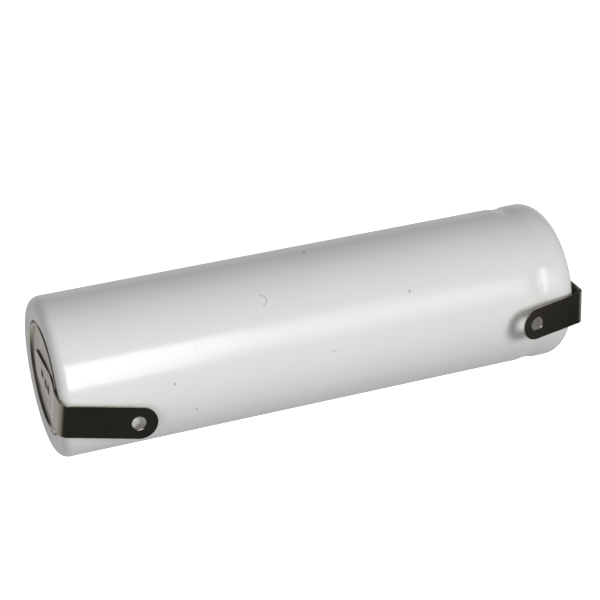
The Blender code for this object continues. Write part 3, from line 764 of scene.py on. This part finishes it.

# %% [markdown]
# ## Solder tags
#
# A tag is one strip of nickel: a foot spot-welded to the end, a rise over the film's lip, a bend at the
# edge and a leg along the side with a round tip and a hole. The CAD has it in two pieces that meet at the
# hinge. Here it is one continuous strip.
#
# It is simplest to make the strip flat, where its outline is a few arcs and a circle, and to roll it on to
# its path afterwards. In the flat strip p runs along it, q across it and z through it. The path gives a
# point and an outward normal for every p.


# %% The strip's sizes and its path
# A tag's foot, leg, hole and bow are in mm, its skew, tilt and twist in degrees. A weld is at (p, q) from
# the foot's middle. LEG_RUN only has to be longer than any leg.
STRIP_WIDTH = 3.1
STRIP_THICKNESS = 0.15
HINGE_RADIUS = 0.35
BEND_RADIUS = 0.7
STEP_RADIUS = 2.0
EDGE_RADIUS = 0.02
HOLE_RADIUS = 0.62
HOLE_ROLLOVER = 0.08
FOOT_GAP = 0.02
STRIP_LIFT = 0.15
STEP_START = 1.9
STEP_END = 5.3
FOOT_CORNER = 1.0
LEG_RUN = 12

TAGS = {
    "negative": {"outward": -1, "end_face": BASE, "film_face": SLEEVE_START, "foot": 3.2, "leg": 8.64,
                 "hole": 1.7, "skew": -5.6, "tilt": -7.4, "bow": 0.12, "twist": -2.0,
                 "welds": [(-0.46, 0.18), (0.65, -0.2), (1.66, -0.26)]},
    "positive": {"outward": 1, "end_face": CAP_TOP, "film_face": SLEEVE_END, "foot": 2.2, "leg": 7.0,
                 "hole": 1.54, "skew": -0.8, "tilt": 0.0, "bow": 0.1, "twist": 2.0,
                 "welds": [(-0.9, 0.35), (0.1, -0.3), (1.2, 0.1)]},
}
JOINTS = {joint["name"]: joint for joint in frame["joints"]}


class TagPath:
    """Where a strip point (p, q, z) goes: along the foot, over the step, round the bend, down the leg."""

    def __init__(self, name, tag):
        joint = JOINTS[f"{name}_tag_bend"]
        self.hinge = Vector(joint["pos_m"]) / MM
        self.end = Vector((tag["outward"], 0, 0))
        axis = Vector(joint["axis"])
        self.across = axis if axis.z > 0 else -axis
        self.side = self.across.cross(Vector((-1, 0, 0)))
        # Pressed flat against the side, the leg turns by its splay, which is the joint's lower limit.
        splay = math.radians(-joint["range_deg"][0])
        weld = tag["end_face"] * tag["outward"] + FOOT_GAP + STRIP_THICKNESS / 2
        lifted = max(weld, tag["film_face"] * tag["outward"] + STRIP_LIFT + STRIP_THICKNESS / 2)
        half_turn = (math.pi / 2 - splay) / 2
        reach = HINGE_RADIUS + STRIP_THICKNESS / 2
        hinge_u = self.hinge.dot(self.side)
        corner_u = hinge_u - reach * math.sin(half_turn) + HINGE_RADIUS * math.tan(half_turn)
        tip = Vector((corner_u, lifted)) + LEG_RUN * Vector((math.sin(splay), -math.cos(splay)))
        corners = [(-tag["foot"], weld, 0)]
        if lifted > weld + 0.01:
            corners += [(STEP_START, weld, STEP_RADIUS), (STEP_END, lifted, STEP_RADIUS)]
        corners += [(corner_u, lifted, BEND_RADIUS), (tip.x, tip.y, 0)]
        self.line = filleted(corners, 3)
        self.lengths = [0.0]
        for start, stop in zip(self.line, self.line[1:]):
            self.lengths.append(self.lengths[-1] + (stop - start).length)
        self.leg_start = self.lengths[-2]
        self.bend_start = self.leg_start - BEND_RADIUS * 2 * half_turn
        self.fold = (self.bend_start + self.leg_start) / 2
        self.leg_length = tag["leg"] - BEND_RADIUS * (math.tan(half_turn) - half_turn)
        self.lifted = lifted
        self.foot = tag["foot"]
        self.tilt = math.radians(tag["tilt"])
        self.bow = tag["bow"]
        self.twist = math.radians(tag["twist"])

    def frame_at(self, p):
        """The path's point and outward normal at a length along it, in the (side, end) plane."""
        index = next((i for i, length in enumerate(self.lengths) if length > p), len(self.lengths) - 1)
        index = max(1, index)
        start, stop = self.line[index - 1], self.line[index]
        share = (p - self.lengths[index - 1]) / (self.lengths[index] - self.lengths[index - 1])

        def direction(i):
            low, high = max(1, i), min(len(self.line) - 1, i + 1)
            steps = [(self.line[j] - self.line[j - 1]).normalized() for j in (low, high)]
            return (steps[0] + steps[1]).normalized()

        along = direction(index - 1).lerp(direction(index), share).normalized()
        return start.lerp(stop, share), Vector((-along.y, along.x))

    def place(self, p, q, z):
        """The strip point's place in the frame, in mm."""
        point, normal = self.frame_at(p)
        down_leg = max(0.0, p - self.leg_start) / self.leg_length
        sprung = self.bow * down_leg * down_leg + q * math.sin(self.twist * down_leg)
        point = point + normal * (z + sprung)
        # The strip was bent by hand, so past its welds it rolls a little about its own length.
        roll = self.tilt * smooth_share(p, self.foot - 0.5, self.foot + 4.6)
        height = point.y - self.lifted
        point.y = self.lifted + height * math.cos(roll) + q * math.sin(roll)
        across = q * math.cos(roll) - height * math.sin(roll)
        return self.side * point.x + self.end * point.y + self.across * across


PATHS = {name: TagPath(name, tag) for name, tag in TAGS.items()}
for name, path in PATHS.items():
    print(f"{name} tag: {path.fold + path.leg_length:.1f} mm of strip, bend at {path.fold:.1f} mm")

# %% [markdown]
# ## The flat blank
#
# A filled 2D curve is the quickest way to a clean blank, because it handles the hole by itself. A punch
# rounds the edge that it enters by, so the hole's outer rim gets a wider bevel than the sheared outline.
# The blank is then cut into rows and columns, because a mesh can only bend where it has edges.


# %% Make a flat blank
def blank_outline(path, skew):
    """The strip's outline in (p, q): a foot with rounded corners, a slanted leg and a round leg tip."""
    half = STRIP_WIDTH / 2
    slant = math.radians(skew)
    along = Vector((math.cos(slant), math.sin(slant)))
    across = Vector((-along.y, along.x))
    fold = Vector((path.fold, 0))
    mitre = (Vector((0, 1)) + across).normalized() * half / math.cos(slant / 2)
    tip = fold + along * (path.leg_length - half)
    outline = []
    for corner in (1, -1):
        centre = Vector((FOOT_CORNER, corner * (half - FOOT_CORNER)))
        for step in range(13):
            angle = math.radians(90 * step / 12 + (90 if corner > 0 else 180))
            outline.append(centre + FOOT_CORNER * Vector((math.cos(angle), math.sin(angle))))
    outline.append(fold - mitre)
    for step in range(25):
        angle = math.radians(-90 + 180 * step / 24)
        outline.append(tip + half * (along * math.cos(angle) + across * math.sin(angle)))
    outline.append(fold + mitre)
    return outline, along


def flat_blank(name, loops):
    """A filled slab in mm, centred on its own plane."""
    curve = bpy.data.curves.new(name, "CURVE")
    curve.dimensions = "2D"
    curve.fill_mode = "BOTH"
    curve.extrude = STRIP_THICKNESS / 2
    for loop in loops:
        spline = curve.splines.new("POLY")
        spline.points.add(len(loop) - 1)
        for point, place in zip(spline.points, loop):
            point.co = (place.x, place.y, 0, 1)
        spline.use_cyclic_u = True
    holder = put_in_scene(name, curve)
    mesh = bpy.data.meshes.new_from_object(holder.evaluated_get(bpy.context.evaluated_depsgraph_get()))
    bpy.data.objects.remove(holder)
    blank = bmesh.new()
    blank.from_mesh(mesh)
    bmesh.ops.remove_doubles(blank, verts=blank.verts, dist=0.0001)
    bmesh.ops.dissolve_limit(blank, angle_limit=0.0005, verts=blank.verts, edges=blank.edges)
    return blank


def break_edges(blank, hole_centre):
    """Round the sheared edges a little, and the punch's entry side of the hole more."""
    hole_rim, outline_rim = [], []
    for edge in blank.edges:
        if len(edge.link_faces) < 2 or edge.calc_face_angle() < math.radians(60):
            continue
        middle = (edge.verts[0].co + edge.verts[1].co) / 2
        at_hole = (middle.xy - hole_centre).length < HOLE_RADIUS * 1.05
        (hole_rim if at_hole and middle.z > 0 else outline_rim).append(edge)
    bmesh.ops.bevel(blank, geom=hole_rim, offset=HOLE_ROLLOVER, offset_type="OFFSET", segments=4,
                    profile=0.5, affect="EDGES")
    bmesh.ops.bevel(blank, geom=[edge for edge in outline_rim if edge.is_valid], offset=EDGE_RADIUS,
                    offset_type="OFFSET", segments=3, profile=0.5, affect="EDGES")


def cut_rows(blank, levels, direction):
    """Cut the blank straight across at each level."""
    for level in levels:
        geometry = blank.verts[:] + blank.edges[:] + blank.faces[:]
        bmesh.ops.bisect_plane(blank, geom=geometry, dist=0.00005, plane_co=direction * level,
                               plane_no=direction)


# %% [markdown]
# ## From blank to tag
#
# Each blank gets its weld dimples, its UV map and its "weld" attribute while it is still flat, and is then
# rolled on to its path. A spot weld is a round pit with a raised rim, left by the electrode's tip.


# %% Make both tags
WELD_RADIUS = 0.33
WELD_DEPTH = 0.17
WELD_RIM = 0.3
RIM_PLACE = 1.45
RIM_WIDTH = 0.35
BEND_ROWS = 0.035
FOOT_ROWS = 0.06
LEG_ROWS = 0.2


def weld_dent(p, q, welds, foot):
    """How deep the surface is pushed in near the welds, and how scorched it is."""
    depth, scorch = 0.0, 0.0
    for along, across in welds:
        gap = math.hypot(p - foot - along, q - across) / WELD_RADIUS
        rim = WELD_RIM * math.exp(-((gap - RIM_PLACE) / RIM_WIDTH) ** 2)
        depth += WELD_DEPTH * (math.exp(-gap ** 4) - rim)
        scorch = max(scorch, 1 - smooth_share(gap, 0.85, 1.6))
    return depth, scorch


def make_tag(name, tag):
    """One continuous tag, from its welded foot to its leg's round tip."""
    path = PATHS[name]
    outline, along = blank_outline(path, tag["skew"])
    hole_centre = Vector((path.fold, 0)) + along * (path.leg_length - tag["hole"])
    hole = [hole_centre + HOLE_RADIUS * Vector((math.cos(a), math.sin(a)))
            for a in (2 * math.pi * step / 40 for step in range(40))]
    blank = flat_blank(f"{name}_blank", [outline, hole])
    break_edges(blank, hole_centre)

    levels = []
    p = 0.1
    while p < path.fold + path.leg_length:
        levels.append(p)
        in_bend = path.bend_start - 0.1 < p < path.leg_start + 0.1
        in_foot = p < 2 * tag["foot"] + 0.4
        p += BEND_ROWS if in_bend else FOOT_ROWS if in_foot else LEG_ROWS
    cut_rows(blank, levels, Vector((1, 0, 0)))
    cut_rows(blank, [FOOT_ROWS * step for step in range(-37, 38)], Vector((0, 1, 0)))

    uv = blank.loops.layers.uv.new("strip")
    weld = blank.verts.layers.float.new("weld")
    for face in blank.faces:
        face.smooth = True
        for loop in face.loops:
            loop[uv].uv = loop.vert.co.x / STRIP_UV_LENGTH, loop.vert.co.y / STRIP_UV_LENGTH + 0.5
    for vert in blank.verts:
        p, q, z = vert.co
        depth, scorch = weld_dent(p, q, tag["welds"], tag["foot"])
        vert[weld] = scorch
        vert.co = path.place(p, q, z - depth) * MM
    bmesh.ops.recalc_face_normals(blank, faces=blank.faces)
    mesh = bpy.data.meshes.new(f"{name}_tag")
    blank.to_mesh(mesh)
    blank.free()
    mesh.materials.append(NICKEL)
    strip = put_in_scene(f"{name}_tag", mesh)
    strip.modifiers.new("flat_faces_first", "WEIGHTED_NORMAL")

    start = path.place(path.bend_start, 0, 0) * MM
    end = path.place(path.leg_start, 0, 0) * MM
    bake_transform(strip)
    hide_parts(f"{name}_tag_foot", f"{name}_tag_leg")
    print(f"{strip.name}: {len(mesh.polygons)} faces")


for name, tag in TAGS.items():
    make_tag(name, tag)

# %% [markdown]
# ## Floor and studio light
#
# A glossy white object on white needs care: what it reflects draws its shape. Matt light and reflections
# come from separate lamps, so each can be placed on its own. The surroundings are grey to matt surfaces,
# mostly dark to mirroring ones, and white to the camera alone.


# %% Floor
FLOOR_WIDTH = 3.0


def bright_floor():
    """A pale floor that reads as white from every side."""
    material, tree, place = start_material("pale_floor")
    grain = add(tree, "ShaderNodeTexNoise", {"Scale": 60.0}, {"Vector": place})
    pale = add(tree, "ShaderNodeMix", {"data_type": "RGBA", 6: linear("#F4F4F3"), 7: linear("#F1F1F0")},
               {0: grain})
    surface = add(tree, "ShaderNodeBsdfPrincipled",
                  {"Roughness": 0.9, "Emission Color": linear("#FFFFFF"), "Emission Strength": 0.9},
                  {"Base Color": pale.outputs[2]})
    add(tree, "ShaderNodeOutputMaterial", links={"Surface": surface})
    return material


def make_floor():
    """A large flat floor that the cell lies on."""
    half = FLOOR_WIDTH / 2
    mesh = bpy.data.meshes.new("floor")
    level = cad_low.z
    corners = [(-half, -half, level), (half, -half, level), (half, half, level), (-half, half, level)]
    mesh.from_pydata(corners, [], [(0, 1, 2, 3)])
    mesh.materials.append(bright_floor())
    floor = put_in_scene("floor", mesh)
    floor.visible_glossy = False
    floor.visible_diffuse = False


make_floor()


# %% Surroundings and lamps
def make_surroundings():
    """White to the camera, soft grey to matt surfaces, and dark with a grey table behind to glossy ones."""
    world = bpy.data.worlds.new("studio")
    world.use_nodes = True
    tree = world.node_tree
    tree.nodes.clear()
    ray = add(tree, "ShaderNodeLightPath").outputs
    direction = add(tree, "ShaderNodeTexCoord").outputs["Generated"]
    axes = add(tree, "ShaderNodeSeparateXYZ", links={0: direction}).outputs
    behind = add(tree, "ShaderNodeMapRange", {"From Min": -0.6, "From Max": 0.2}, {"Value": axes["Y"]})
    low = add(tree, "ShaderNodeMapRange", {"From Min": 0.32, "From Max": 0.05}, {"Value": axes["Z"]})
    table = add(tree, "ShaderNodeMath", {"operation": "MULTIPLY"}, {0: behind, 1: low})
    dark = add(tree, "ShaderNodeMapRange", {"From Min": 0.3, "From Max": 0.7, "To Min": 0.035,
                                            "To Max": 0.01}, {"Value": axes["X"]})
    mirrored = add(tree, "ShaderNodeMix", {3: 0.55}, {0: table, 2: dark})
    matt = add(tree, "ShaderNodeMapRange", {"From Min": -0.4, "From Max": 0.4, "To Min": 0.23,
                                            "To Max": 0.2}, {"Value": axes["Z"]})
    grey = add(tree, "ShaderNodeMix", links={0: ray["Is Glossy Ray"], 2: matt, 3: mirrored})
    level = add(tree, "ShaderNodeMix", {3: 1.0}, {0: ray["Is Camera Ray"], 2: grey})
    background = add(tree, "ShaderNodeBackground", links={"Strength": level})
    background.inputs["Color"].default_value = linear("#FFFFFF")
    add(tree, "ShaderNodeOutputWorld", links={"Surface": background})
    bpy.context.scene.world = world


def away_from_cell(azimuth, elevation):
    """A direction in degrees. Azimuth 0 is in front of the tags, and 90 is off the positive end."""
    turn, rise = math.radians(azimuth), math.radians(elevation)
    return Vector((math.sin(turn) * math.cos(rise), -math.cos(turn) * math.cos(rise), math.sin(rise)))


def soft_lamp(name, azimuth, elevation, width, height, radiance, distance, matt_only):
    """A soft box that faces the cell, and either lights matt colour or shows as a reflection."""
    ray = away_from_cell(azimuth, elevation)
    lamp = bpy.data.lights.new(name, "AREA")
    lamp.shape = "RECTANGLE"
    lamp.size = width
    lamp.size_y = height
    lamp.energy = radiance * math.pi * width * height
    box = put_in_scene(name, lamp)
    box.location = (cad_low + cad_high) / 2 + ray * distance
    box.rotation_mode = "QUATERNION"
    box.rotation_quaternion = ray.to_track_quat("Z", "Y")
    box.visible_camera = False
    box.visible_glossy = not matt_only
    box.visible_diffuse = matt_only


make_surroundings()
soft_lamp("key_soft_box", 24, 28, 0.3, 0.3, 22, 1.0, matt_only=True)
soft_lamp("left_fill", -38, 18, 0.12, 0.12, 1.8, 0.17, matt_only=True)
soft_lamp("back_fill", 175, 5, 0.3, 0.3, 13, 1.0, matt_only=True)
soft_lamp("long_reflection", -6, 28, 0.19, 0.19, 5.4, 0.3, matt_only=False)
soft_lamp("faint_reflection", 22, 28, 0.08, 0.19, 1.2, 0.3, matt_only=False)
bpy.context.scene.view_settings.view_transform = "Standard"
print("lamps:", len(bpy.data.lights))

# %% [markdown]
# ## Camera
#
# The camera looks from the front left and from above, with a long lens for gentle perspective.

# %% Camera
AIM = Vector((24.09, 0, 2.79)) * MM
CAMERA_DISTANCE = 0.179
CAMERA_AZIMUTH = -20.47
CAMERA_ELEVATION = 32.44
LENS = 118.0

away = away_from_cell(CAMERA_AZIMUTH, CAMERA_ELEVATION)
camera_data = bpy.data.cameras.new("catalogue_view")
camera_data.lens = LENS
camera_data.clip_start = 0.005
camera = put_in_scene("catalogue_view", camera_data)
camera.location = AIM + away * CAMERA_DISTANCE
camera.rotation_mode = "QUATERNION"
camera.rotation_quaternion = (-away).to_track_quat("-Z", "Y")
bpy.context.scene.camera = camera
print("camera at", [round(value, 3) for value in camera.location])
